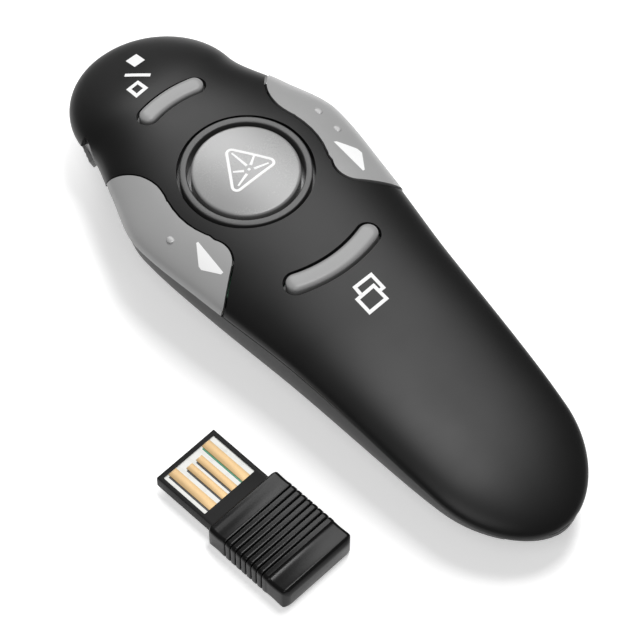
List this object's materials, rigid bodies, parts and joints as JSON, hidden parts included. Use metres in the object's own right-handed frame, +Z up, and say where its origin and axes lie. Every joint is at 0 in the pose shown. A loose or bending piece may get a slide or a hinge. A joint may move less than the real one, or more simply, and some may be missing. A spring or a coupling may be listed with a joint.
{
  "type": "wireless presentation clicker",
  "caption": "Hand-held presentation clicker with round laser button, arc keys, side keys and slider, and a ribbed plug-in receiver lying beside it.",
  "frame": {"origin": "on the table, under the middle of the casing", "axes": "+Y along the casing to its nose, +Z up out of the laser button"},
  "size_m": [0.0593, 0.1098, 0.0199],
  "materials": {
    "soft_black": "matt soft-touch",
    "dark_plastic": "fine grained",
    "ring_grey": "satin",
    "button_grey": "satin",
    "key_grey": "satin",
    "knob_grey": "satin",
    "stem_white": "matt",
    "switch_body": "matt",
    "switch_metal": "satin",
    "board_green": "solder mask",
    "board_white": "glossy",
    "chip_black": "matt",
    "crystal_metal": "brushed",
    "part_tan": "matt",
    "laser_red": "clear",
    "lens_clear": "clear",
    "barrel_brass": "turned",
    "diode_gold": "polished",
    "cell_jacket": "glossy",
    "spring_steel": "plated",
    "screw_steel": "zinc plated",
    "receiver_black": "glossy",
    "tray_black": "satin",
    "contact_gold": "gilt"
  },
  "bodies": {
    "casing": {"upper_shell": "soft_black", "lower_shell": "dark_plastic", "bezel_ring": "ring_grey", "power_switch": "switch_metal", "laser_window": "laser_red", "laser_lens": "lens_clear", "laser_barrel": "barrel_brass", "laser_diode": "diode_gold", "laser_board": "board_green", "main_board": "board_green", "key_switches": "switch_body", "radio_chip": "chip_black", "clock_crystal": "crystal_metal", "board_parts": "part_tan", "battery_left": "cell_jacket", "battery_right": "cell_jacket", "battery_springs": "spring_steel", "battery_plates": "spring_steel", "case_screws": "screw_steel", "board_screw": "screw_steel"},
    "laser_key": {"laser_button": "button_grey", "laser_switch_stem": "stem_white"},
    "black_screen_key": {"black_screen_button": "key_grey", "black_screen_switch_stem": "stem_white"},
    "window_key": {"window_button": "key_grey", "window_switch_stem": "stem_white"},
    "previous_key": {"previous_button": "key_grey", "previous_switch_stem": "stem_white"},
    "next_key": {"next_button": "key_grey", "next_switch_stem": "stem_white"},
    "slider": {"power_slider": "knob_grey"},
    "cover": {"battery_cover": "dark_plastic"},
    "receiver": {"receiver_cover": "receiver_black", "receiver_plug_tray": "tray_black", "receiver_board": "board_white", "receiver_contacts": "contact_gold", "receiver_chip": "chip_black"}
  },
  "joints": [
    {"name": "laser_press", "type": "slide", "parent": "casing", "child": "laser_key", "axis": [0, 0, -1], "range_m": [0, 0.00045], "stiffness_N_per_m": 600},
    {"name": "black_screen_press", "type": "slide", "parent": "casing", "child": "black_screen_key", "axis": [0, 0, -1], "range_m": [0, 0.00045], "stiffness_N_per_m": 600},
    {"name": "window_press", "type": "slide", "parent": "casing", "child": "window_key", "axis": [0, 0, -1], "range_m": [0, 0.00045], "stiffness_N_per_m": 600},
    {"name": "previous_press", "type": "slide", "parent": "casing", "child": "previous_key", "axis": [0, 0, -1], "range_m": [0, 0.00045], "stiffness_N_per_m": 600},
    {"name": "next_press", "type": "slide", "parent": "casing", "child": "next_key", "axis": [0, 0, -1], "range_m": [0, 0.00045], "stiffness_N_per_m": 600},
    {"name": "power_slide", "type": "slide", "parent": "casing", "child": "slider", "axis": [0, -1, 0], "range_m": [0, 0.002]},
    {"name": "cover_slide", "type": "slide", "parent": "casing", "child": "cover", "axis": [0, -1, 0], "range_m": [0, 0.005]},
    {"name": "receiver_lift", "type": "slide", "parent": "casing", "child": "receiver", "axis": [0, 0, 1], "range_m": [0, 0.04]}
  ]
}
